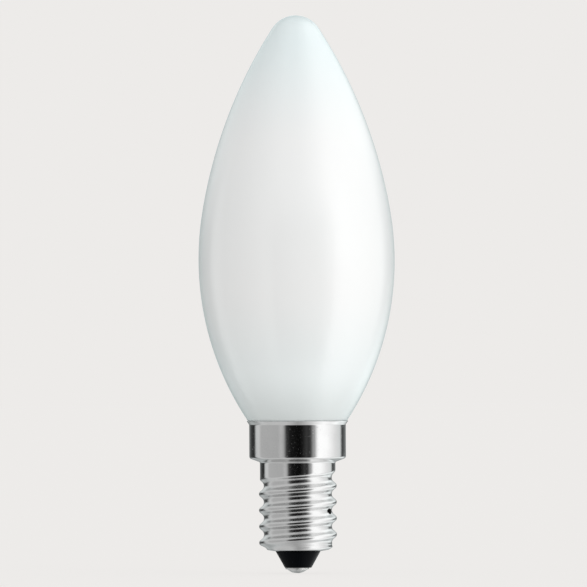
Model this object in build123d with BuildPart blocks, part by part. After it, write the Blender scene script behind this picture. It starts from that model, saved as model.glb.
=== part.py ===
from build123d import *
import os
from math import acos, atan2, ceil, cos, degrees, pi, radians, sin, sqrt

# A candle bulb in its own frame, in millimetres: the origin is the lowest point of the
# centre contact, and +Z runs up the axis to the tip of the glass.

# Whole bulb
overall_length = 97.0

# Opal glass envelope
glass_diameter = 34.1
body_radius = 50.5  # of the arc that rises from the neck and passes through the belly
body_overrun = 9.0  # degrees that this arc runs on above the belly
tip_radius = 4.8

# Screw cap, drawn and rolled from one sheet
sheet = 0.2
collar_diameter = 16.8
collar_length = 5.82  # plain wall, from the shoulder to the flared rim
rim_height = 0.63
rim_bend = 0.25  # bends are inside radii: here the collar flares into the rim
corner_bend = 0.3  # where the collar turns into the shoulder
shoulder_rise = 0.68
land_bend = 0.3  # where the shoulder turns into the land
barrel_length = 14.77  # land and thread, from the shoulder to the turned-in end
land_diameter = 13.2
land_length = 2.72  # from the shoulder to the first groove, on the +X side
thread_diameter = 13.6
thread_depth = 0.85
thread_pitch = 2.822
sections_per_turn = 10
end_rise = 0.2  # the turned-in end slopes down to its opening
end_bend = 0.3  # where the barrel turns into that end
end_opening = 8.1

# Black glass insulator in the end of the cap
insulator_height = 2.9  # of the cone that shows
foot_diameter = 4.9
foot_radius = 0.25  # of the foot's edge
flange_thickness = 2.2  # of the part locked inside the cap

# Centre contact
solder_height = 1.0
solder_diameter = 4.6
solder_overlap = 0.5  # by which the solder reaches past the eyelet's flange
solder_rise = 1.5  # of the solder that has run up into the eyelet
eyelet_diameter = 2.0
eyelet_wall = 0.25
eyelet_flange = 0.2
eyelet_stand = 0.4  # length that stands up inside the cap

# Fits
fit_gap = 0.05  # between pieces that are fused, cemented or pressed together
seat_gap = 0.05  # between glass and collar where the rim begins to flare
rim_gap = 0.04  # between glass and rim at the top
cement_gap = 0.6  # between glass neck and collar, which the cement fills

# Radii
glass_r = glass_diameter / 2
collar_r = collar_diameter / 2
collar_inside_r = collar_r - sheet
neck_r = collar_inside_r - cement_gap
land_r = land_diameter / 2
land_inside_r = land_r - sheet
crest_r = thread_diameter / 2
root_r = crest_r - thread_depth
bore_r = root_r - sheet
opening_r = end_opening / 2
insulator_r = opening_r - fit_gap
flange_r = bore_r - fit_gap
foot_r = foot_diameter / 2
solder_r = solder_diameter / 2
eyelet_r = eyelet_diameter / 2
eyelet_bore_r = eyelet_r - eyelet_wall
eyelet_flange_r = solder_r - solder_overlap

# Heights above the contact's lowest point
foot_z = solder_height
end_z = foot_z + insulator_height
corner_z = end_z + end_rise
barrel_z = corner_z + end_bend + sheet
shoulder_z = barrel_z + barrel_length
collar_z = shoulder_z + shoulder_rise
rim_z = collar_z + collar_length
rim_top_z = rim_z + rim_height
groove_z = shoulder_z - land_length
run_in = thread_pitch / 4  # the thread rises from the turned-in end over a quarter turn
run_out = thread_pitch / 4  # and fades into the land over a quarter turn
land_z = groove_z + run_out

# The sloping walls of the cap are as thick as the sheet, measured square to the slope
shoulder_slope = shoulder_rise / (collar_r - land_r)
shoulder_wall = sheet * sqrt(1 + shoulder_slope**2)
end_slope = end_rise / (root_r - opening_r)
end_wall = sheet * sqrt(1 + end_slope**2)


def shoulder_inside(r):
    """Height of the shoulder's inner face at radius r."""
    return shoulder_z + (r - land_r) * shoulder_slope + shoulder_wall


def end_inside(r):
    """Height of the turned-in end's inner face at radius r."""
    return end_z + (r - opening_r) * end_slope + end_wall


# Outline of the glass: three tangent arcs over the neck. The neck's place in the collar sets the
# height of the belly, and the overall length sets the flank between belly and tip.
body_x = glass_r - body_radius
belly_z = rim_z + sqrt(body_radius**2 - (collar_inside_r - seat_gap - body_x) ** 2)
neck_z = shoulder_inside(neck_r) + fit_gap
neck_angle = degrees(acos((neck_r - body_x) / body_radius))
neck_top_z = belly_z - body_radius * sin(radians(neck_angle))
overrun_cos = cos(radians(body_overrun))
overrun_sin = sin(radians(body_overrun))
joint_x = body_x + body_radius * overrun_cos
joint_z = belly_z + body_radius * overrun_sin
tip_z = overall_length - tip_radius
tip_rise = tip_z - joint_z
flank_radius = (joint_x**2 + tip_rise**2 - tip_radius**2) / (
    2 * (joint_x * overrun_cos - tip_rise * overrun_sin - tip_radius)
)
flank_x = joint_x - flank_radius * overrun_cos
flank_z = joint_z - flank_radius * overrun_sin
tip_angle = degrees(atan2(tip_z - flank_z, -flank_x))


def glass_radius(z):
    """Radius of the glass at a height where the body arc runs."""
    return body_x + sqrt(body_radius**2 - (z - belly_z) ** 2)


def ease(share):
    """A smooth step from 0 to 1."""
    share = min(max(share, 0), 1)
    return share * share * (3 - 2 * share)


def thread_section(z):
    """Centre and radius of the round section of the rolled barrel at height z.

    A round thread cuts every level as a circle set off the axis, away from the groove. Its crest
    fades into the land above and into the turned-in end below.
    """
    start = ease((z - barrel_z) / run_in)
    crest = root_r + (crest_r - root_r) * start
    crest += (land_r - crest) * ease((z - groove_z) / run_out + 1)
    root = root_r + (land_r - root_r) * ease((z - groove_z) / run_out)
    turn = 2 * pi * (z - groove_z) / thread_pitch
    offset_r = (crest - root) / 2
    return (-offset_r * cos(turn), -offset_r * sin(turn)), (crest + root) / 2


# Glass envelope, sealed and opal, so one solid from the neck to the tip
with BuildPart() as glass_envelope:
    with BuildSketch(Plane.XZ):
        with BuildLine():
            CenterArc((body_x, belly_z), body_radius, -neck_angle, neck_angle + body_overrun)
            CenterArc((flank_x, flank_z), flank_radius, body_overrun, tip_angle - body_overrun)
            CenterArc((0, tip_z), tip_radius, tip_angle, 90 - tip_angle)
            Polyline((0, overall_length), (0, neck_z), (neck_r, neck_z), (neck_r, neck_top_z))
        make_face()
    revolve(axis=Axis.Z)

# Screw cap: the rolled barrel, the collar above it and the turned-in end below, then the hollow
with BuildPart() as screw_cap:
    thread_length = land_z - barrel_z
    section_count = ceil(thread_length / thread_pitch * sections_per_turn)
    for i in range(section_count + 1):
        section_z = barrel_z + thread_length * i / section_count
        centre, radius = thread_section(section_z)
        with BuildSketch(Plane.XY.offset(section_z)):
            with Locations(centre):
                Circle(radius)
    loft()

    rim_inside_r = glass_radius(rim_top_z) + rim_gap
    rim_r = rim_inside_r + sheet
    with BuildSketch(Plane.XZ) as collar_profile:
        with BuildLine():
            Polyline(
                (0, land_z),
                (land_r, land_z),
                (land_r, shoulder_z),
                (collar_r, collar_z),
                (collar_r, rim_z),
                (rim_r, rim_top_z),
                (0, rim_top_z),
                close=True,
            )
        make_face()
        for corner, radius in (
            ((land_r, shoulder_z), land_bend),
            ((collar_r, collar_z), corner_bend + sheet),
            ((collar_r, rim_z), rim_bend),
        ):
            fillet(collar_profile.vertices().sort_by_distance(corner)[0], radius)
    revolve(axis=Axis.Z)
    with BuildSketch(Plane.XZ) as end_profile:
        with BuildLine():
            Polyline(
                (0, end_z),
                (opening_r, end_z),
                (root_r, corner_z),
                (root_r, barrel_z),
                (0, barrel_z),
                close=True,
            )
        make_face()
        fillet(end_profile.vertices().sort_by_distance((root_r, corner_z))[0], end_bend + sheet)
    revolve(axis=Axis.Z)

    end_corner = (bore_r, end_inside(bore_r))
    land_corner = (land_inside_r, shoulder_inside(land_inside_r))
    collar_corner = (collar_inside_r, shoulder_inside(collar_inside_r))
    rim_corner = (collar_inside_r, rim_z)
    with BuildSketch(Plane.XZ) as hollow_profile:
        with BuildLine():
            Polyline(
                (0, end_z),
                (opening_r, end_z),
                (opening_r, end_inside(opening_r)),
                end_corner,
                (bore_r, groove_z),
                (land_inside_r, land_z),
                land_corner,
                collar_corner,
                rim_corner,
                (rim_inside_r, rim_top_z),
                (0, rim_top_z),
                close=True,
            )
        make_face()
        for corner, radius in (
            (end_corner, end_bend),
            (land_corner, land_bend + sheet),
            (collar_corner, corner_bend),
            (rim_corner, rim_bend + sheet),
        ):
            fillet(hollow_profile.vertices().sort_by_distance(corner)[0], radius)
    revolve(axis=Axis.Z, mode=Mode.SUBTRACT)

# Capping cement, the ring of set paste between the glass neck and the collar
with BuildPart() as capping_cement:
    cement_r = collar_inside_r - fit_gap
    cement_z = shoulder_inside(collar_inside_r) + corner_bend  # above the bend of the corner
    with BuildSketch(Plane.XY.offset(cement_z)):
        Circle(cement_r)
        Circle(neck_r + fit_gap, mode=Mode.SUBTRACT)
    extrude(amount=neck_top_z - cement_z)

# Insulator: a cone that shows, a waist in the cap's opening and a flange inside the cap
flange_z = end_inside(bore_r) + flange_thickness
with BuildPart() as insulator:
    eyelet_hole_r = eyelet_r + fit_gap
    with BuildSketch(Plane.XZ) as insulator_profile:
        with BuildLine():
            Polyline(
                (eyelet_hole_r, foot_z),
                (foot_r, foot_z),
                (insulator_r, end_z),
                (insulator_r, end_inside(insulator_r) + fit_gap),
                (flange_r, end_inside(flange_r) + fit_gap),
                (flange_r, flange_z),
                (eyelet_hole_r, flange_z),
                close=True,
            )
        make_face()
        for corner, radius in (
            ((foot_r, foot_z), foot_radius),
            ((flange_r, end_inside(flange_r) + fit_gap), end_bend),
        ):
            fillet(insulator_profile.vertices().sort_by_distance(corner)[0], radius)
    revolve(axis=Axis.Z)

# Contact eyelet, set through the insulator with its flange under the foot
with BuildPart() as contact_eyelet:
    with BuildSketch(Plane.XY.offset(foot_z - eyelet_flange)):
        Circle(eyelet_flange_r)
    extrude(amount=eyelet_flange)
    with BuildSketch(Plane.XY.offset(foot_z)):
        Circle(eyelet_r)
    extrude(amount=flange_z + eyelet_stand - foot_z)
    Hole(eyelet_bore_r)

# Solder tip: a dome over the eyelet's flange, with a stalk that has run up its bore
with BuildPart() as solder_tip:
    dome_r = (solder_r**2 + solder_height**2) / (2 * solder_height)
    dome_angle = degrees(acos((dome_r - solder_height) / dome_r))
    pocket_r = eyelet_flange_r + fit_gap
    stalk_r = eyelet_bore_r - fit_gap
    with BuildSketch(Plane.XZ):
        with BuildLine():
            CenterArc((0, dome_r), dome_r, -90, dome_angle)
            Polyline(
                (solder_r, foot_z),
                (pocket_r, foot_z),
                (pocket_r, foot_z - eyelet_flange),
                (stalk_r, foot_z - eyelet_flange),
                (stalk_r, foot_z + solder_rise),
                (0, foot_z + solder_rise),
                (0, 0),
            )
        make_face()
    revolve(axis=Axis.Z)

os.makedirs("parts", exist_ok=True)
glass_envelope.part.label = "glass_envelope"
export_step(glass_envelope.part, "parts/glass_envelope.step")
screw_cap.part.label = "screw_cap"
export_step(screw_cap.part, "parts/screw_cap.step")
capping_cement.part.label = "capping_cement"
export_step(capping_cement.part, "parts/capping_cement.step")
insulator.part.label = "insulator"
export_step(insulator.part, "parts/insulator.step")
contact_eyelet.part.label = "contact_eyelet"
export_step(contact_eyelet.part, "parts/contact_eyelet.step")
solder_tip.part.label = "solder_tip"
export_step(solder_tip.part, "parts/solder_tip.step")
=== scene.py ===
"""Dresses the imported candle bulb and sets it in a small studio.

The opal envelope is spun, the screw cap is rolled and drawn from sheet, and the insulator and the
soldered contact are set in its end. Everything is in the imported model's frame, in metres.
"""

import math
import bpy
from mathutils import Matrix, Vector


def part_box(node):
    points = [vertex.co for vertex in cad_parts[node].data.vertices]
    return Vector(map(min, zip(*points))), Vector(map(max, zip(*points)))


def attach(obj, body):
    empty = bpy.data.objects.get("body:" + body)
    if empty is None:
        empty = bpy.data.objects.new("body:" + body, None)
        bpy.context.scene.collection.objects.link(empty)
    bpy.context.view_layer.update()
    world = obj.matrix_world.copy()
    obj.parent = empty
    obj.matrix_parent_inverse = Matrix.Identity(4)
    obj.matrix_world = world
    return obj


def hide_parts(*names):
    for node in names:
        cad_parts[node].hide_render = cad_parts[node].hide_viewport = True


bl_info = {
    "name": "Candle Bulb",
    "version": (1, 0, 0),
    "blender": (4, 5, 0),
    "location": "View3D > Sidebar > Candle Bulb",
    "description": "Adds an opal candle bulb with a rolled screw cap, and a plain studio",
    "category": "Add Mesh",
}

import bmesh
import bpy
from bpy.props import FloatProperty, FloatVectorProperty, IntProperty, PointerProperty
from mathutils import Vector

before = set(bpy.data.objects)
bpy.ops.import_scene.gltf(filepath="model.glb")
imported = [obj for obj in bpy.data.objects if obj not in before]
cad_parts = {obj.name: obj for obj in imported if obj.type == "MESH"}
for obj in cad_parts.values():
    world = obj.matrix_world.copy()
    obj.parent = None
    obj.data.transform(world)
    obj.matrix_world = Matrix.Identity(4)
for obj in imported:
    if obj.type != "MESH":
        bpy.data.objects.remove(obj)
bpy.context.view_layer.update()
GLASS_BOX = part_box("glass_envelope")
CAP_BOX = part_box("screw_cap")
INSULATOR_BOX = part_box("insulator")

MM = 0.001
AXIS = (0.0, 0.0, 1.0)
NEAR = 2e-6  # points closer than this are one point
BEND_STEPS = 8  # of each round bend in a profile
DEGREES = 180 / math.pi  # in one radian
WHITE = (1.0, 1.0, 1.0, 1.0)
COOL_WHITE = (0.95, 1.0, 1.0, 1.0)

# Heights between which one finish turns into another. On the glass they bound painted shade: cool
# towards the tip and the lower body, grey at the neck
TIP_SHADE_ZONE = (73 * MM, 97 * MM)
LOWER_SHADE_ZONE = (31 * MM, 51 * MM)
NECK_SHADE_ZONE = (25.5 * MM, 35.5 * MM)
THREAD_ZONE = (16.4 * MM, 17.2 * MM)

# The small dark spot in a groove, a painted dark reflection
DARK_REFLECTION_STRETCH = (1.0, 0.35, 1.0)  # it is long along the groove
DARK_REFLECTION_EDGE = (0.42 * MM, 0.6 * MM)  # distances from its middle between which it fades out
DARK_REFLECTION_RAGGED = 0.5 * MM  # how far its edge wanders

# The key light, the floor and the camera
KEY_TURN = math.radians(50)  # how far round to the right the light stands
KEY_RISE = math.radians(8)
KEY_SPREAD = math.radians(42)
PAPER = 1.15  # how much whiter the floor's paper is than the ground that the camera sees
SENSOR = 36.0  # width of the sensor in millimetres
PICTURE = 587  # width of the picture in pixels

# How bright the walls are that the plating mirrors, by degrees round to the right from behind the
# camera, and below how bright it is over and under them, from -1 at the left to 1 at the right
WALLS = (
    (-180, 0.34), (-155, 0.14), (-143, 0.05), (-126, 0.03),
    (-117, 0.68), (-106, 0.72), (-98, 0.53), (-48, 0.5), (-40, 0.6), (-34, 0.5),
    (-27, 0.05), (-17, 0.01), (5, 0.003), (12, 0.012), (22, 0.05), (28, 0.035), (32, 0.08),
    (38, 0.4), (42, 0.46), (48, 1.2), (53, 1.36), (75, 1.32), (101, 0.98), (122, 0.84),
    (132, 0.1), (142, 0.07), (160, 0.22), (180, 0.34),
)
OVER_AND_UNDER = (
    (-1.0, 0.66), (-0.3, 0.64), (0.0, 0.42), (0.15, 0.52), (0.38, 0.8), (0.62, 1.3), (1.0, 1.3),
)
BRIGHTEST = 1.4  # a ramp holds 1 at most, so the room's levels are shares of this
WALL_FOOT = (-52, -34)  # degrees of rise between which the walls begin
WALL_TOP = (12, 26)  # and between which they end


# Settings


def length(name, description, default):
    """A length in metres."""
    return FloatProperty(
        name=name,
        description=description,
        default=default,
        min=0.0,
        precision=5,
        subtype="DISTANCE",
        unit="LENGTH",
    )


def angle(name, description, degrees):
    """An angle, given in degrees and kept in radians."""
    return FloatProperty(
        name=name,
        description=description,
        default=math.radians(degrees),
        subtype="ANGLE",
        unit="ROTATION",
    )


def share(name, description, default):
    """A plain number from 0 to 1."""
    return FloatProperty(
        name=name, description=description, default=default, min=0.0, max=1.0, subtype="FACTOR"
    )


def level(name, description, default):
    """How bright a light or a lit surface is, where 1 is white."""
    return FloatProperty(name=name, description=description, default=default, min=0.0)


def colour(name, description, default):
    """A linear colour."""
    return FloatVectorProperty(
        name=name, description=description, default=default, size=3, min=0.0, max=1.0, subtype="COLOR"
    )


def count(name, description, default):
    """A number of steps."""
    return IntProperty(name=name, description=description, default=default, min=3)


def outer_radius(box):
    """The radius of a round node, from its box."""
    return min(box[1].x, box[1].y)


class EnvelopeSettings(bpy.types.PropertyGroup):
    """Sizes and finish of the opal glass."""

    belly_radius: length("Belly radius", "Largest radius of the glass", outer_radius(GLASS_BOX))
    belly_height: length("Belly height", "Height of the widest place", 54.5 * MM)
    body_radius: length("Body radius", "Radius of the arc through the belly", 50.5 * MM)
    overrun: angle("Overrun", "How far the body arc runs on above the belly", 9.0)
    tip_radius: length("Tip radius", "Radius of the round tip", 4.8 * MM)
    neck_radius: length("Neck radius", "Radius of the neck in the cap", 7.6 * MM)
    around: count("Steps around", "Steps of the spin about the axis", 192)
    opal: colour("Opal", "Colour of the milky glass at the belly", (0.845, 0.855, 0.855))
    # Painted cool shade: towards the tip and the lower body the glass turns to this cooler, slightly
    # darker colour in place of shade
    cool_shade_opal: colour("Opal ends", "Cooler colour towards the tip and the neck", (0.77, 0.845, 0.855))
    # Painted shade: the glass is greyed low down, where it meets the cap
    neck_shade_grey: colour("Opal neck", "Greyer colour where the coat thins at the cap", (0.645, 0.69, 0.69))
    roughness: share("Roughness", "How much the glass blurs what it mirrors", 0.18)


class CapSettings(bpy.types.PropertyGroup):
    """Sizes and finish of the rolled sheet-metal cap."""

    sheet: length("Sheet", "Thickness of the sheet", 0.2 * MM)
    collar_radius: length("Collar radius", "Outside of the plain collar", 8.4 * MM)
    collar_bottom: length("Collar bottom", "Height where the collar meets the shoulder", 20.05 * MM)
    rim_bottom: length("Rim bottom", "Height where the rim starts to flare", 25.87 * MM)
    land_radius: length("Land radius", "Outside of the plain land over the thread", 6.56 * MM)
    land_top: length("Land top", "Height where the land meets the shoulder", 19.37 * MM)
    land_step: length("Land step", "Height over which the barrel widens to the land", 0.3 * MM)
    pitch: length("Pitch", "Rise of the thread in one turn", 2.822 * MM)
    crest_radius: length("Crest radius", "Outside of the thread", 6.76 * MM)
    depth: length("Depth", "Depth of the thread", 0.85 * MM)
    flank: angle("Flank", "Slope of the thread's flanks", 50.0)
    groove_round: length("Groove round", "Radius of the round groove", 0.95 * MM)
    first_groove: length("First groove", "Height of the first groove at the right", 16.65 * MM)
    rings: count("Rings", "Rings of the mesh in one pitch", 28)
    run_in: length("Run-in", "Height over which the thread rises from the end", 0.8 * MM)
    run_out: length("Run-out", "Height that the last groove climbs while it fades", 1.06 * MM)
    taper_top: length("Taper top", "Height where the barrel starts to draw in", 5.15 * MM)
    end_radius: length("End radius", "Radius where the barrel meets the end", 5.35 * MM)
    end_top: length("End top", "Height where the end turns in", 4.1 * MM)
    end_bend: length("End bend", "Radius where the barrel turns into the end", 0.25 * MM)
    land_bend: length("Land bend", "Radius between the land and the shoulder", 0.3 * MM)
    collar_bend: length("Collar bend", "Radius between the shoulder and the collar", 0.5 * MM)
    rim_bend: length("Rim bend", "Radius between the collar and the rim", 0.25 * MM)
    edge_round: length("Edge round", "Radius on the cut edges of the sheet", 0.07 * MM)
    opening_radius: length("Opening radius", "Radius of the opening in the end", 4.05 * MM)
    around: count("Steps around", "Steps of the spin about the axis", 192)
    plate: colour("Plate", "Colour of the bright plating", (0.74, 0.742, 0.74))
    # Middle of a painted dark reflection: a small dark spot in one groove
    dark_reflection_place: FloatVectorProperty(
        name="Mark",
        description="Middle of the small dark smear in a groove",
        default=(5.5 * MM, -2.1 * MM, 10.85 * MM),
        precision=5,
        subtype="TRANSLATION",
        unit="LENGTH",
    )
    roughness: share("Roughness", "How much the plating blurs what it mirrors", 0.07)


class ContactSettings(bpy.types.PropertyGroup):
    """Sizes and finish of the insulator, the contact and what the cap hides."""

    foot_height: length("Foot height", "Height of the insulator's foot", 1.0 * MM)
    foot_radius: length("Foot radius", "Radius of the insulator's foot", 2.31 * MM)
    foot_bend: length("Foot bend", "Radius of the edge of the foot", 0.25 * MM)
    waist_radius: length("Waist radius", "Radius of the insulator in the cap's opening", 3.92 * MM)
    hole_radius: length("Hole radius", "Radius of the hole for the eyelet", 1.05 * MM)
    solder_radius: length("Solder radius", "Radius of the bead of solder", 2.14 * MM)
    solder_aside: length("Solder aside", "How far the bead sits to the left", 0.17 * MM)
    solder_lumps: length("Solder lumps", "How uneven the skin of the bead is", 0.14 * MM)
    pocket_radius: length("Pocket radius", "Room in the bead for the eyelet's flange", 2.0 * MM)
    pocket_depth: length("Pocket depth", "Depth of that room", 0.2 * MM)
    stalk_radius: length("Stalk radius", "Radius of the solder in the eyelet", 0.5 * MM)
    stalk_top: length("Stalk top", "Height of the solder in the eyelet", 2.5 * MM)
    around: count("Steps around", "Steps of the spin about the axis", 96)
    black: colour("Black glass", "Colour of the insulator", (0.0015, 0.002, 0.003))
    solder: colour("Solder", "Colour of the solder", (0.78, 0.78, 0.77))
    brass: colour("Brass", "Colour of the eyelet", (0.72, 0.56, 0.3))
    cement: colour("Cement", "Colour of the capping cement", (0.62, 0.57, 0.48))


class StudioSettings(bpy.types.PropertyGroup):
    """The camera, the ground and the light."""

    ground: colour("Ground", "Colour of the floor and the backdrop", (0.847, 0.831, 0.815))
    ambient: level("Ambient", "Light from all round", 0.82)
    key: level("Key", "Light that the large lamp at the right adds", 0.4)
    shadow: share("Shadow", "How much of its shadow the floor shows", 0.1)
    distance: length("Distance", "From the camera to the bulb's axis", 2.0)
    eye_height: length("Eye height", "Height of the camera", 48.67 * MM)
    aside: FloatProperty(
        name="Aside",
        description="How far the camera stands to the right",
        default=-0.57 * MM,
        precision=5,
        subtype="DISTANCE",
        unit="LENGTH",
    )
    roll: angle("Roll", "How far the camera leans", 0.3)
    scale: FloatProperty(
        name="Scale", description="Pixels for each millimetre at the axis", default=5.753, min=0.1
    )


class BulbSettings(bpy.types.PropertyGroup):
    """All settings of the bulb."""

    envelope: PointerProperty(type=EnvelopeSettings)
    cap: PointerProperty(type=CapSettings)
    contact: PointerProperty(type=ContactSettings)
    studio: PointerProperty(type=StudioSettings)


# Shader maths


class Wire:
    """An output socket of a node tree. Sums written on it add Math nodes to the tree."""

    def __init__(self, tree, socket=None):
        self.tree = tree
        self.socket = socket

    def add(self, kind, settings=None, inputs=None, output=0):
        """Add a node: its settings first, then the values or links of its sockets."""
        node = self.tree.nodes.new(kind)
        for name, value in (settings or {}).items():
            if name == "stops":
                set_stops(node.color_ramp.elements, value)
            else:
                setattr(node, name, value)
        for key, value in (inputs or {}).items():
            if isinstance(value, Wire):
                self.tree.links.new(value.socket, node.inputs[key])
            else:
                node.inputs[key].default_value = value
        return Wire(self.tree, node.outputs[output] if node.outputs else None)

    def maths(self, operation, *values):
        """A Math node on numbers or wires."""
        return self.add("ShaderNodeMath", {"operation": operation}, dict(enumerate(values)))

    def __add__(self, other):
        return self.maths("ADD", self, other)

    def __radd__(self, other):
        return self.maths("ADD", other, self)

    def __sub__(self, other):
        return self.maths("SUBTRACT", self, other)

    def __rsub__(self, other):
        return self.maths("SUBTRACT", other, self)

    def __mul__(self, other):
        return self.maths("MULTIPLY", self, other)

    def __rmul__(self, other):
        return self.maths("MULTIPLY", other, self)

    def __truediv__(self, other):
        return self.maths("DIVIDE", self, other)

    def step(self, low, high):
        """A smooth step from 0 at low to 1 at high."""
        return self.add(
            "ShaderNodeMapRange",
            {"interpolation_type": "SMOOTHSTEP"},
            {"Value": self, "From Min": low, "From Max": high},
        )

    def part(self, name):
        """One part, X, Y or Z, of a vector."""
        return self.add("ShaderNodeSeparateXYZ", None, {0: self}, name)

    def noise(self, scale, detail=2.0, stretch=(1.0, 1.0, 1.0)):
        """Noise at this place, stretched along the axes."""
        place = self.add("ShaderNodeMapping", None, {"Vector": self, "Scale": stretch})
        return self.add("ShaderNodeTexNoise", None, {"Vector": place, "Scale": scale, "Detail": detail})

    def mix(self, first, second):
        """A colour between two others, by this share."""
        return self.add("ShaderNodeMix", {"data_type": "RGBA"}, {0: self, 6: first, 7: second}, 2)

    def bump(self, strength, distance):
        """A bumped normal, with this as the height."""
        return self.add(
            "ShaderNodeBump", None, {"Strength": strength, "Distance": distance, "Height": self}
        )


def set_stops(elements, stops):
    """Give a ramp its stops, as (position, grey level)."""
    while len(elements) < len(stops):
        elements.new(1.0)
    for element, (position, grey) in zip(elements, stops):
        element.position = position
        element.color = (grey, grey, grey, 1.0)


def rgba(value, factor=1.0):
    """A colour with its alpha, a little lighter or darker by the factor."""
    return (*(min(c * factor, 1.0) for c in value), 1.0)


def new_material(name):
    """A material with an empty node tree, and a wire to build it from."""
    material = bpy.data.materials.new(name)
    material.use_nodes = True
    material.node_tree.nodes.clear()
    return material, Wire(material.node_tree)


def finish_material(wire, **sockets):
    """End a node tree with a Principled shader and its output."""
    named = {name.replace("_", " "): value for name, value in sockets.items()}
    shader = wire.add("ShaderNodeBsdfPrincipled", None, named)
    wire.add("ShaderNodeOutputMaterial", None, {"Surface": shader})


# Modelling


def start_point(name, x, z):
    """A new object in edit mode, with one point at (x, 0, z), from which a profile is drawn."""
    bpy.ops.object.select_all(action="DESELECT")
    bpy.ops.mesh.primitive_plane_add(size=MM, enter_editmode=True, location=(0, 0, 0))
    piece = bpy.context.object
    piece.name = name
    piece.data.name = name
    bpy.ops.mesh.select_all(action="SELECT")
    bpy.ops.mesh.merge(type="CENTER")
    bpy.ops.transform.translate(value=(x, 0, z))
    return piece


def draw(x, z, steps=1):
    """Carry the profile on by a straight line of x and z."""
    for _ in range(steps):
        bpy.ops.mesh.extrude_region_move(
            TRANSFORM_OT_translate={"value": (x / steps, 0, z / steps)}
        )


def draw_arc(x, z, turn, steps):
    """Carry the profile on by an arc about (x, z), where a positive turn goes from +X to +Z."""
    bpy.ops.mesh.spin(steps=steps, angle=turn, center=(x, 0, z), axis=(0, 1, 0))


def close_mesh():
    """Merge the doubled points of the edit mesh and point its faces outwards."""
    bpy.ops.mesh.select_all(action="SELECT")
    bpy.ops.mesh.remove_doubles(threshold=NEAR)
    bpy.ops.mesh.normals_make_consistent(inside=False)
    bpy.ops.mesh.select_all(action="DESELECT")


def lathe(steps):
    """Spin the whole profile once about the axis."""
    bpy.ops.mesh.select_all(action="SELECT")
    bpy.ops.mesh.spin(steps=steps, angle=math.tau, center=(0, 0, 0), axis=AXIS)
    close_mesh()


def radius_of(point):
    """Distance of a point from the axis."""
    return math.hypot(point.x, point.y)


def draw_path(path):
    """Carry the profile on along corners of (x, z, bend radius, steps), with round bends."""
    here = Vector(path[0][:2])
    for i, (x, z, bend, steps) in enumerate(path[1:], start=1):
        corner = Vector((x, z))
        way = (corner - here).normalized()
        if bend:
            after = (Vector(path[i + 1][:2]) - corner).normalized()
            turn = -way.angle_signed(after)
            reach = bend * math.tan(abs(turn) / 2)
            entry = corner - way * reach
            centre = entry + Vector((-way.y, way.x)) * math.copysign(bend, turn)
            draw(entry.x - here.x, entry.y - here.y, steps)
            draw_arc(centre.x, centre.y, turn, BEND_STEPS)
            here = corner + after * reach
        else:
            draw(x - here.x, z - here.y, steps)
            here = corner


def face_outwards(piece):
    """Turn an open shell's faces round if they point at the axis."""
    faces = bmesh.from_edit_mesh(piece.data).faces
    outermost = min(faces, key=lambda face: face.calc_center_median().x)
    if outermost.normal.x > 0:
        bpy.ops.mesh.select_all(action="SELECT")
        bpy.ops.mesh.flip_normals()
        bpy.ops.mesh.select_all(action="DESELECT")


def apply(piece, kind, **settings):
    """Add a modifier and apply it."""
    modifier = piece.modifiers.new(kind.title(), kind)
    for name, value in settings.items():
        setattr(modifier, name, value)
    bpy.ops.object.modifier_apply(modifier=modifier.name)


def weigh(piece, name, weight):
    """A group that holds each point by a weight that its place gives."""
    group = piece.vertex_groups.new(name=name)
    for point in piece.data.vertices:
        group.add([point.index], weight(point.co), "REPLACE")


def ease(value):
    """A smooth step from 0 to 1."""
    value = min(max(value, 0.0), 1.0)
    return value * value * (3 - 2 * value)


def shade(sharp):
    """Shade the piece smooth, apart from edges that turn by more than this many degrees."""
    bpy.ops.object.shade_smooth_by_angle(angle=math.radians(sharp))


def place(piece, material, slot, *nodes):
    """Give a finished piece its material, its body and the nodes that it stands for."""
    piece.data.materials.clear()
    piece.data.materials.append(material)
    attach(piece, "root")
    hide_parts(*nodes)
    bpy.ops.object.select_all(action="DESELECT")


# Materials


def opal_glass(settings):
    """Milky glass with a satin gloss, with painted cool shade towards both ends and painted grey shade
    at the neck.
    """
    material, wire = new_material("opal_glass")
    here = wire.add("ShaderNodeTexCoord", output="Object")
    height = here.part("Z")
    # Painted cool shade towards the tip and over the lower body, with random cloudy tone mixed in
    top = 1.1 * height.step(*TIP_SHADE_ZONE)
    bottom = 0.6 * (1 - height.step(*LOWER_SHADE_ZONE))
    cloud = here.noise(scale=55.0)
    ends = top + bottom + 0.2 * (cloud - 0.5)
    coat = ends.mix(rgba(settings.opal), rgba(settings.cool_shade_opal))
    # Painted shade: greyer low on the glass, just over the cap
    neck = 1 - height.step(*NECK_SHADE_ZONE)
    ripple = here.noise(scale=140.0, detail=3.0)
    finish_material(
        wire,
        Base_Color=neck.mix(coat, rgba(settings.neck_shade_grey)),
        Roughness=settings.roughness + 0.06 * (ripple - 0.5),
        Subsurface_Weight=0.2,
        Subsurface_Radius=(1.0, 1.0, 1.0),
        Subsurface_Scale=2.0 * MM,
        IOR=1.52,
        Specular_IOR_Level=0.95,
        Sheen_Weight=0.3,
        Sheen_Roughness=0.4,
        Sheen_Tint=(0.6, 0.95, 0.97, 1.0),
        Normal=here.noise(scale=45.0, detail=1.0).bump(strength=0.04, distance=0.2 * MM),
    )
    return material


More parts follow.
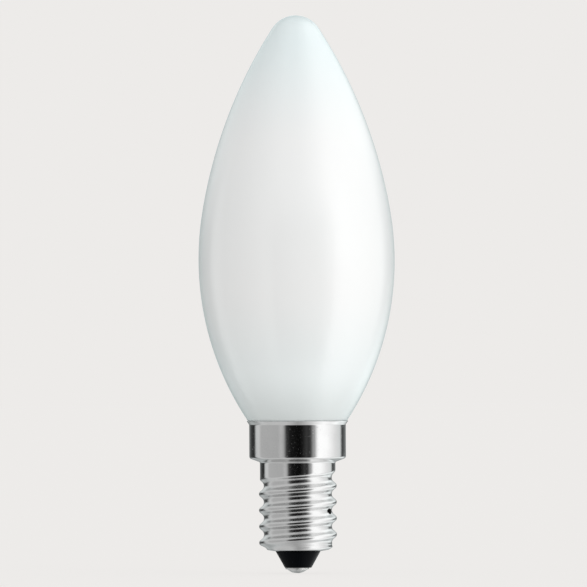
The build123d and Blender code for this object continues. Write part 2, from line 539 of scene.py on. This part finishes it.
def bright_plate(settings):
    """Bright plating with drawing lines, fine specks and a little handling haze.

    It is duller on the rolled thread, and a painted dark reflection lies as a small spot in one groove.
    """
    material, wire = new_material("bright_plate")
    here = wire.add("ShaderNodeTexCoord", output="Object")
    haze = here.noise(scale=260.0, detail=3.0).step(0.35, 0.75)
    rolled = 1 - here.part("Z").step(*THREAD_ZONE)
    specks = (1 - rolled) * here.noise(scale=3200.0).step(0.58, 0.74)
    lines = here.noise(scale=900.0, stretch=(1.0, 1.0, 0.04))
    # A painted dark reflection in one groove: a small dull black spot
    along = wire.add("ShaderNodeMapping", None, {"Vector": here, "Scale": DARK_REFLECTION_STRETCH})
    middle = [part * stretch for part, stretch in zip(settings.dark_reflection_place, DARK_REFLECTION_STRETCH)]
    away = wire.add(
        "ShaderNodeVectorMath", {"operation": "DISTANCE"}, {0: along, 1: middle}, "Value"
    )
    ragged = here.noise(scale=1300.0, detail=3.0)
    dark_reflection = 1 - (away + DARK_REFLECTION_RAGGED * (ragged - 0.5)).step(*DARK_REFLECTION_EDGE)
    plate = haze.mix(rgba(settings.plate), rgba(settings.plate, 0.95))
    finish_material(
        wire,
        Base_Color=dark_reflection.mix(plate, rgba(settings.plate, 0.01)),
        Metallic=1 - dark_reflection,
        Roughness=settings.roughness + 0.05 * haze + 0.11 * rolled + 0.2 * specks + 0.5 * dark_reflection,
        Specular_IOR_Level=0.0,
        Normal=(lines + 0.5 * specks).bump(strength=0.03, distance=0.02 * MM),
    )
    return material


def black_glass(settings):
    """Pressed black glass, glossy with faint flow marks."""
    material, wire = new_material("black_glass")
    here = wire.add("ShaderNodeTexCoord", output="Object")
    flow = here.noise(scale=500.0, detail=3.0, stretch=(1.0, 1.0, 0.5))
    finish_material(
        wire,
        Base_Color=flow.mix(rgba(settings.black, 0.7), rgba(settings.black, 1.4)),
        Roughness=0.2 + 0.15 * flow,
        IOR=1.5,
        Specular_IOR_Level=0.04,
        Normal=flow.bump(strength=0.06, distance=0.05 * MM),
    )
    return material


def solder_metal(settings):
    """Solder that has set with a soft, slightly grainy skin."""
    material, wire = new_material("solder")
    here = wire.add("ShaderNodeTexCoord", output="Object")
    grain = here.noise(scale=1500.0, detail=3.0)
    finish_material(
        wire,
        Base_Color=grain.mix(rgba(settings.solder, 0.8), rgba(settings.solder, 1.1)),
        Metallic=1.0,
        Roughness=0.24 + 0.2 * grain,
        Normal=grain.bump(strength=0.2, distance=0.1 * MM),
    )
    return material


def pressed_brass(settings):
    """Brass of the eyelet, with press marks round it."""
    material, wire = new_material("pressed_brass")
    here = wire.add("ShaderNodeTexCoord", output="Object")
    marks = here.noise(scale=900.0, detail=3.0, stretch=(0.3, 0.3, 2.0))
    finish_material(
        wire,
        Base_Color=marks.mix(rgba(settings.brass, 0.8), rgba(settings.brass, 1.05)),
        Metallic=1.0,
        Roughness=0.2 + 0.2 * marks,
    )
    return material


def set_cement(settings):
    """Set capping paste: matt and grainy."""
    material, wire = new_material("set_cement")
    here = wire.add("ShaderNodeTexCoord", output="Object")
    grain = here.noise(scale=1200.0, detail=5.0)
    finish_material(
        wire,
        Base_Color=grain.mix(rgba(settings.cement, 0.75), rgba(settings.cement, 1.1)),
        Roughness=0.85 + 0.1 * grain,
        Normal=grain.bump(strength=0.4, distance=0.1 * MM),
    )
    return material


# Pieces


class BULB_OT_envelope(bpy.types.Operator):
    """Spin the opal envelope from three tangent arcs over its neck"""

    bl_idname = "bulb.envelope"
    bl_label = "Opal Envelope"

    def execute(self, context):
        s = context.scene.bulb.envelope
        bottom, top = GLASS_BOX[0].z, GLASS_BOX[1].z
        body_x = s.belly_radius - s.body_radius
        neck_turn = math.acos((s.neck_radius - body_x) / s.body_radius)
        neck_top = s.belly_height - s.body_radius * math.sin(neck_turn)
        cos, sin = math.cos(s.overrun), math.sin(s.overrun)
        joint_x = body_x + s.body_radius * cos
        joint_z = s.belly_height + s.body_radius * sin
        tip_z = top - s.tip_radius
        rise = tip_z - joint_z
        flank_radius = (joint_x**2 + rise**2 - s.tip_radius**2) / (
            2 * (joint_x * cos - rise * sin - s.tip_radius)
        )
        flank_x = joint_x - flank_radius * cos
        flank_z = joint_z - flank_radius * sin
        tip_turn = math.atan2(tip_z - flank_z, -flank_x)

        piece = start_point("opal_envelope", 0, bottom)
        draw(s.neck_radius, 0, steps=3)
        draw(0, neck_top - bottom, steps=4)
        draw_arc(body_x, s.belly_height, neck_turn + s.overrun, steps=64)
        draw_arc(flank_x, flank_z, tip_turn - s.overrun, steps=44)
        draw_arc(0, tip_z, math.pi / 2 - tip_turn, steps=20)
        lathe(s.around)
        bpy.ops.object.mode_set(mode="OBJECT")
        shade(sharp=40)
        place(piece, opal_glass(s), "opal_glass", "glass_envelope")
        return {"FINISHED"}


class BULB_OT_cap(bpy.types.Operator):
    """Draw the cap from one sheet, roll the thread into its barrel and turn in its end"""

    bl_idname = "bulb.cap"
    bl_label = "Screw Cap"

    def execute(self, context):
        s = context.scene.bulb.cap
        root = s.crest_radius - s.depth
        thread_top = s.first_groove + s.run_out + s.pitch / 4
        thread_end = thread_top + s.land_step
        taper_rings = math.ceil((s.taper_top - s.end_top) / s.pitch * s.rings)
        rings = math.ceil((thread_top - s.taper_top) / s.pitch * s.rings)
        path = (
            (s.opening_radius, CAP_BOX[0].z, 0, 0),
            (s.end_radius, s.end_top, s.end_bend, 5),
            (root, s.taper_top, 0, taper_rings),
            (root, thread_top, 0, rings),
            (s.land_radius, thread_end, 0, 3),
            (s.land_radius, s.land_top, s.land_bend, 2),
            (s.collar_radius, s.collar_bottom, s.collar_bend, 3),
            (s.collar_radius, s.rim_bottom, s.rim_bend, 6),
            (CAP_BOX[1].x, CAP_BOX[1].z, 0, 3),
        )
        piece = start_point("rolled_cap", *path[0][:2])
        draw_path(path)
        lathe(s.around)
        face_outwards(piece)
        bpy.ops.object.mode_set(mode="OBJECT")
        self.roll_thread(piece, s, root, thread_end)
        apply(piece, "SOLIDIFY", thickness=s.sheet, offset=-1.0, use_even_offset=True)
        apply(
            piece,
            "BEVEL",
            width=s.edge_round,
            segments=3,
            limit_method="ANGLE",
            angle_limit=math.radians(60),
        )
        shade(sharp=50)
        place(piece, bright_plate(s), "plated_cap", "screw_cap")
        return {"FINISHED"}

    def roll_thread(self, piece, s, root, top):
        """Press the barrel out to the thread, which fades into the land above and the end below."""
        cos, sin = math.cos(s.flank), math.sin(s.flank)
        # Both radii of the profile together, for this pitch, depth and slope
        rounds = (s.pitch / 2 * sin / cos - s.depth) / (1 / cos - 1)
        crest_round = rounds - s.groove_round

        def below_crest(away):
            """How far the profile lies below the crest: an arc, a straight flank and an arc."""
            from_groove = s.pitch / 2 - away
            if away < crest_round * sin:
                return crest_round - math.sqrt(crest_round**2 - away**2)
            if from_groove < s.groove_round * sin:
                return s.depth - s.groove_round + math.sqrt(s.groove_round**2 - from_groove**2)
            return crest_round * (1 - cos) + (away - crest_round * sin) * sin / cos

        def weight(point):
            """How far a point is pressed out, as a share of its way to the crest."""
            radius = radius_of(point)
            if not s.end_top <= point.z <= top + NEAR:
                return 0.0
            turn = math.atan2(point.y, point.x) / math.tau
            above_groove = ((point.z - s.first_groove) / s.pitch - turn + 0.5) % 1.0 - 0.5
            climb = point.z - above_groove * s.pitch - s.first_groove
            deep = below_crest((0.5 - abs(above_groove)) * s.pitch) / s.depth
            floor = min(radius, root)
            start = ease((point.z - s.end_top) / s.run_in)
            crest = floor + (s.crest_radius - floor) * start
            # The crest sinks into the land over a quarter of the pitch below the first groove
            crest += (s.land_radius - crest) * ease(4 * (point.z - s.first_groove) / s.pitch + 1)
            groove = floor + (s.land_radius - floor) * ease(climb / s.run_out)
            wanted = crest + (groove - crest) * deep
            return max((wanted - radius) / (s.crest_radius - radius), 0.0)

        weigh(piece, "thread", weight)
        apply(
            piece,
            "CAST",
            cast_type="CYLINDER",
            use_z=False,
            factor=1.0,
            size=s.crest_radius,
            use_radius_as_size=False,
            vertex_group="thread",
        )
        piece.vertex_groups.clear()


class BULB_OT_contact(bpy.types.Operator):
    """Press the insulator, melt the bead of solder and finish what the cap hides"""

    bl_idname = "bulb.contact"
    bl_label = "Insulator and Contact"

    def execute(self, context):
        s = context.scene.bulb.contact
        self.press_insulator(s, context.scene.bulb.cap)
        self.melt_solder(s)
        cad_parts["contact_eyelet"].material_slots[0].material = pressed_brass(s)
        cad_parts["capping_cement"].material_slots[0].material = set_cement(s)
        return {"FINISHED"}

    def press_insulator(self, s, cap):
        """The black glass cone, its waist in the cap's opening and its flange inside the cap."""
        top = INSULATOR_BOX[1].z
        flange_radius = outer_radius(INSULATOR_BOX)
        opening = CAP_BOX[0].z
        # The flange keeps clear of the sheet's inner face
        seat = cap.end_top + 1.5 * cap.sheet
        seat_radius = cap.end_radius - 2 * cap.sheet
        path = (
            (s.hole_radius, s.foot_height, 0, 0),
            (s.foot_radius, s.foot_height, s.foot_bend, 4),
            (s.waist_radius, opening, 0, 8),
            (s.waist_radius, opening + 1.3 * cap.sheet, 0, 2),
            (seat_radius, seat, 0, 3),
            (flange_radius, cap.taper_top + cap.sheet, 0, 3),
            (flange_radius, top, 0, 4),
            (s.hole_radius, top, 0, 4),
            (s.hole_radius, s.foot_height, 0, 6),
        )
        piece = start_point("black_insulator", *path[0][:2])
        draw_path(path)
        lathe(s.around)
        bpy.ops.object.mode_set(mode="OBJECT")
        shade(sharp=30)
        place(piece, black_glass(s), "black_glass", "insulator")

    def melt_solder(self, s):
        """A bead that sits a little to one side, with a pocket for the eyelet and a stalk in it."""
        dome = (s.solder_radius**2 + s.foot_height**2) / (2 * s.foot_height)
        turn = math.asin(s.solder_radius / dome)
        piece = start_point("solder_bead", 0, 0)
        draw_arc(0, dome, turn, steps=24)
        draw_path(
            (
                (s.solder_radius, s.foot_height, 0, 0),
                (s.pocket_radius, s.foot_height, 0, 1),
                (s.pocket_radius, s.foot_height - s.pocket_depth, 0, 2),
                (s.stalk_radius, s.foot_height - s.pocket_depth, 0, 4),
                (s.stalk_radius, s.stalk_top, 0, 6),
                (0, s.stalk_top, 0, 2),
            )
        )
        lathe(s.around)
        bpy.ops.mesh.select_all(action="SELECT")
        bpy.ops.transform.translate(value=(-s.solder_aside, 0, 0))
        bpy.ops.object.mode_set(mode="OBJECT")

        def skin(point):
            """The lumps fade out between 75% and 95% of the height of the bead."""
            return 1 - ease((point.z / s.foot_height - 0.75) / 0.2)

        lumps = bpy.data.textures.new("solder_lumps", "CLOUDS")
        lumps.noise_scale = 1.1 * MM
        weigh(piece, "skin", skin)
        apply(
            piece,
            "DISPLACE",
            texture=lumps,
            texture_coords="LOCAL",
            strength=s.solder_lumps,
            mid_level=1.0,
            vertex_group="skin",
        )
        piece.vertex_groups.clear()
        shade(sharp=40)
        place(piece, solder_metal(s), "solder", "solder_tip")


# Studio


class BULB_OT_studio(bpy.types.Operator):
    """Set up the floor, the light and the camera"""

    bl_idname = "bulb.studio"
    bl_label = "Studio"

    def execute(self, context):
        s = context.scene.bulb.studio
        scene = context.scene
        scene.view_settings.view_transform = "Standard"
        self.light_world(scene, s)
        self.lay_floor(s)
        self.hang_key(s)
        self.set_camera(scene, s)
        return {"FINISHED"}

    def light_world(self, scene, s):
        """A flat pale backdrop, even light all round, and what the bright metal mirrors."""
        world = bpy.data.worlds.new("studio")
        scene.world = world
        world.use_nodes = True
        world.node_tree.nodes.clear()
        wire = Wire(world.node_tree)
        flat = wire.add("ShaderNodeBackground", None, {"Color": rgba(s.ground), "Strength": 1.0})
        even = wire.add("ShaderNodeBackground", None, {"Color": WHITE, "Strength": s.ambient})
        mirrored = self.paint_room(wire)
        camera = wire.add("ShaderNodeLightPath", output="Is Camera Ray")
        through = wire.add("ShaderNodeLightPath", output="Is Transmission Ray")
        glossy = wire.add("ShaderNodeLightPath", output="Is Glossy Ray")
        lit = wire.add("ShaderNodeMixShader", None, {0: glossy, 1: even, 2: mirrored})
        direct = camera.maths("MAXIMUM", camera, through)
        seen = wire.add("ShaderNodeMixShader", None, {0: direct, 1: lit, 2: flat})
        wire.add("ShaderNodeOutputWorld", None, {"Surface": seen})

    def paint_room(self, wire):
        """What the plating mirrors: dark behind the camera, white at the right, pale elsewhere."""
        way = wire.add("ShaderNodeTexCoord", output="Generated")
        x, y, z = way.part("X"), way.part("Y"), way.part("Z")
        turn = x.maths("ARCTAN2", x, 0 - y) * DEGREES
        rise = z.maths("ARCSINE", z) * DEGREES
        wall = self.ramp(turn, WALLS, 180)
        beyond = self.ramp(x, OVER_AND_UNDER, 1)
        behind = y.step(0.1, 0.9)
        # Behind the bulb the walls begin higher and end lower, apart from a faint part that ends higher
        lower = rise - behind * (31 + 9 * x)
        upper = rise + behind * (11 - 3 * x)
        taller = rise - behind * 12
        top = 0.82 * upper.step(*WALL_TOP) + 0.18 * taller.step(*WALL_TOP)
        band = lower.step(*WALL_FOOT) * (1 - top)
        # Behind the bulb it is darker far up and far down, and lighter just over the walls
        steep = z.maths("ABSOLUTE", z).step(0.35, 0.55)
        glow = behind * z.step(0.0, 0.15) * (1 - steep)
        beyond = beyond * (1 - 0.3 * steep * y.step(0.45, 0.75)) + 0.2 * glow
        bright = beyond + band * (wall - beyond)
        tint = behind.mix(WHITE, COOL_WHITE)
        return wire.add("ShaderNodeBackground", None, {"Color": tint, "Strength": BRIGHTEST * bright})

    def ramp(self, value, levels, reach):
        """How bright the room is by a value that runs from -reach to reach."""
        span = 2 * reach
        stops = [((at + reach) / span, grey / BRIGHTEST) for at, grey in levels]
        return value.add("ShaderNodeValToRGB", {"stops": stops}, {"Fac": value / span + 0.5})

    def lay_floor(self, s):
        """A plain pale floor that keeps a faint shadow."""
        bpy.ops.object.select_all(action="DESELECT")
        bpy.ops.mesh.primitive_plane_add(size=6.0, location=(0, 0, 0))
        floor = bpy.context.object
        floor.name = "floor"
        material, wire = new_material("floor")
        here = wire.add("ShaderNodeTexCoord", output="Object")
        grain = here.noise(scale=300.0, detail=3.0)
        paper = wire.add(
            "ShaderNodeBsdfDiffuse",
            None,
            {"Color": grain.mix(rgba(s.ground, 0.98 * PAPER), rgba(s.ground, 1.02 * PAPER))},
        )
        light = PAPER * (s.ambient + s.key * math.sin(KEY_RISE))
        even = (1 - s.shadow * light) / (1 - s.shadow)
        plain = wire.add("ShaderNodeEmission", None, {"Color": rgba(s.ground), "Strength": even})
        seen = wire.add("ShaderNodeLightPath", output="Is Camera Ray")
        flat = seen * (1 - s.shadow)
        mixed = wire.add("ShaderNodeMixShader", None, {0: flat, 1: paper, 2: plain})
        wire.add("ShaderNodeOutputMaterial", None, {"Surface": mixed})
        floor.data.materials.append(material)
        floor.visible_glossy = False

    def hang_key(self, s):
        """A large soft light from the front right, the same all over the floor."""
        aim = -Vector(
            (
                math.cos(KEY_RISE) * math.sin(KEY_TURN),
                -math.cos(KEY_RISE) * math.cos(KEY_TURN),
                math.sin(KEY_RISE),
            )
        )
        bpy.ops.object.light_add(type="SUN", rotation=aim.to_track_quat("-Z", "Y").to_euler())
        lamp = bpy.context.object
        lamp.name = "key"
        lamp.data.angle = KEY_SPREAD
        lamp.data.energy = s.key * math.pi
        lamp.visible_glossy = False

    def set_camera(self, scene, s):
        """A long lens, level with the middle of the bulb."""
        bpy.ops.object.camera_add(
            location=(s.aside, -s.distance, s.eye_height), rotation=(math.pi / 2, s.roll, 0)
        )
        camera = bpy.context.object
        camera.data.sensor_width = SENSOR
        camera.data.lens = SENSOR * s.scale * (s.distance / MM) / PICTURE
        camera.data.clip_start = 0.01
        camera.data.clip_end = 20.0
        scene.camera = camera


# Add-on


class BULB_PT_panel(bpy.types.Panel):
    """The bulb's steps and settings in the sidebar"""

    bl_idname = "BULB_PT_panel"
    bl_label = "Candle Bulb"
    bl_space_type = "VIEW_3D"
    bl_region_type = "UI"
    bl_category = "Candle Bulb"

    def draw(self, context):
        for name, operator in STEPS:
            box = self.layout.box()
            box.operator(operator.bl_idname)
            group = getattr(context.scene.bulb, name)
            for setting in group.__annotations__:
                box.prop(group, setting)


STEPS = (
    ("envelope", BULB_OT_envelope),
    ("cap", BULB_OT_cap),
    ("contact", BULB_OT_contact),
    ("studio", BULB_OT_studio),
)
CLASSES = (
    EnvelopeSettings,
    CapSettings,
    ContactSettings,
    StudioSettings,
    BulbSettings,
    *(operator for _, operator in STEPS),
    BULB_PT_panel,
)


def register():
    for item in CLASSES:
        bpy.utils.register_class(item)
    bpy.types.Scene.bulb = PointerProperty(type=BulbSettings)


def unregister():
    del bpy.types.Scene.bulb
    for item in reversed(CLASSES):
        bpy.utils.unregister_class(item)


def main():
    """Build the bulb and its studio."""
    register()
    for name, _ in STEPS:
        getattr(bpy.ops.bulb, name)()


if __name__ == "__main__":
    main()
